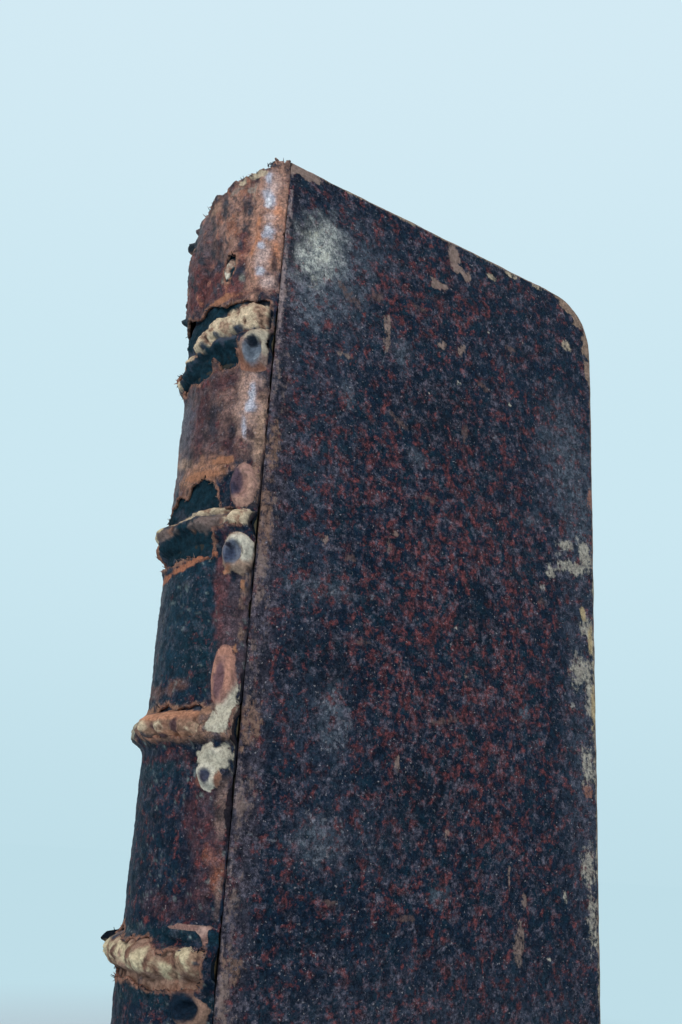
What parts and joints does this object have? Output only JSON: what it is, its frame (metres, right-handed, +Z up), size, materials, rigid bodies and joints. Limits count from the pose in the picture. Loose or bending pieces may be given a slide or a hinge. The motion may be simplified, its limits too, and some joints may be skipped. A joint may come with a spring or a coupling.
{
  "type": "leather-bound book",
  "caption": "Tall, narrow antique book standing on its tail, with worn leather covers, raised bands on a torn rounded spine and covers that open.",
  "frame": {"origin": "middle of the base, where the closed book stands on its tail", "axes": "+Z up from tail to head, -Y out of the front cover, -X out of the spine"},
  "size_m": [0.0954, 0.032, 0.186],
  "materials": {
    "cover_leather": "worn, mottled dark blue-black and red-brown, satin",
    "spine_leather": "worn and torn, dark brown to blue-black, satin",
    "page_paper": "matt, aged",
    "hemp_cord": "matt, frayed",
    "endband_thread": "matt, faded",
    "pasteboard": "matt"
  },
  "bodies": {
    "pages_and_spine": {"text_block": "page_paper", "front_flyleaf": "page_paper", "back_flyleaf": "page_paper", "raised_cord_1": "hemp_cord", "raised_cord_2": "hemp_cord", "raised_cord_3": "hemp_cord", "raised_cord_4": "hemp_cord", "spine_linings": "page_paper", "spine_leather": "spine_leather", "head_endband": "endband_thread", "tail_endband": "endband_thread"},
    "front_cover": {"front_board": "pasteboard", "front_cover_leather": "cover_leather", "front_cord_slips": "hemp_cord", "front_pastedown": "page_paper"},
    "back_cover": {"back_board": "pasteboard", "back_cover_leather": "cover_leather", "back_cord_slips": "hemp_cord", "back_pastedown": "page_paper"}
  },
  "joints": [
    {"name": "front_cover_hinge", "type": "hinge", "parent": "pages_and_spine", "child": "front_cover", "pos_m": [-0.03865, -0.0161, 0.093], "axis": [0, 0, -1], "range_deg": [0, 170]},
    {"name": "back_cover_hinge", "type": "hinge", "parent": "pages_and_spine", "child": "back_cover", "pos_m": [-0.03865, 0.0161, 0.093], "axis": [0, 0, 1], "range_deg": [0, 170]}
  ]
}
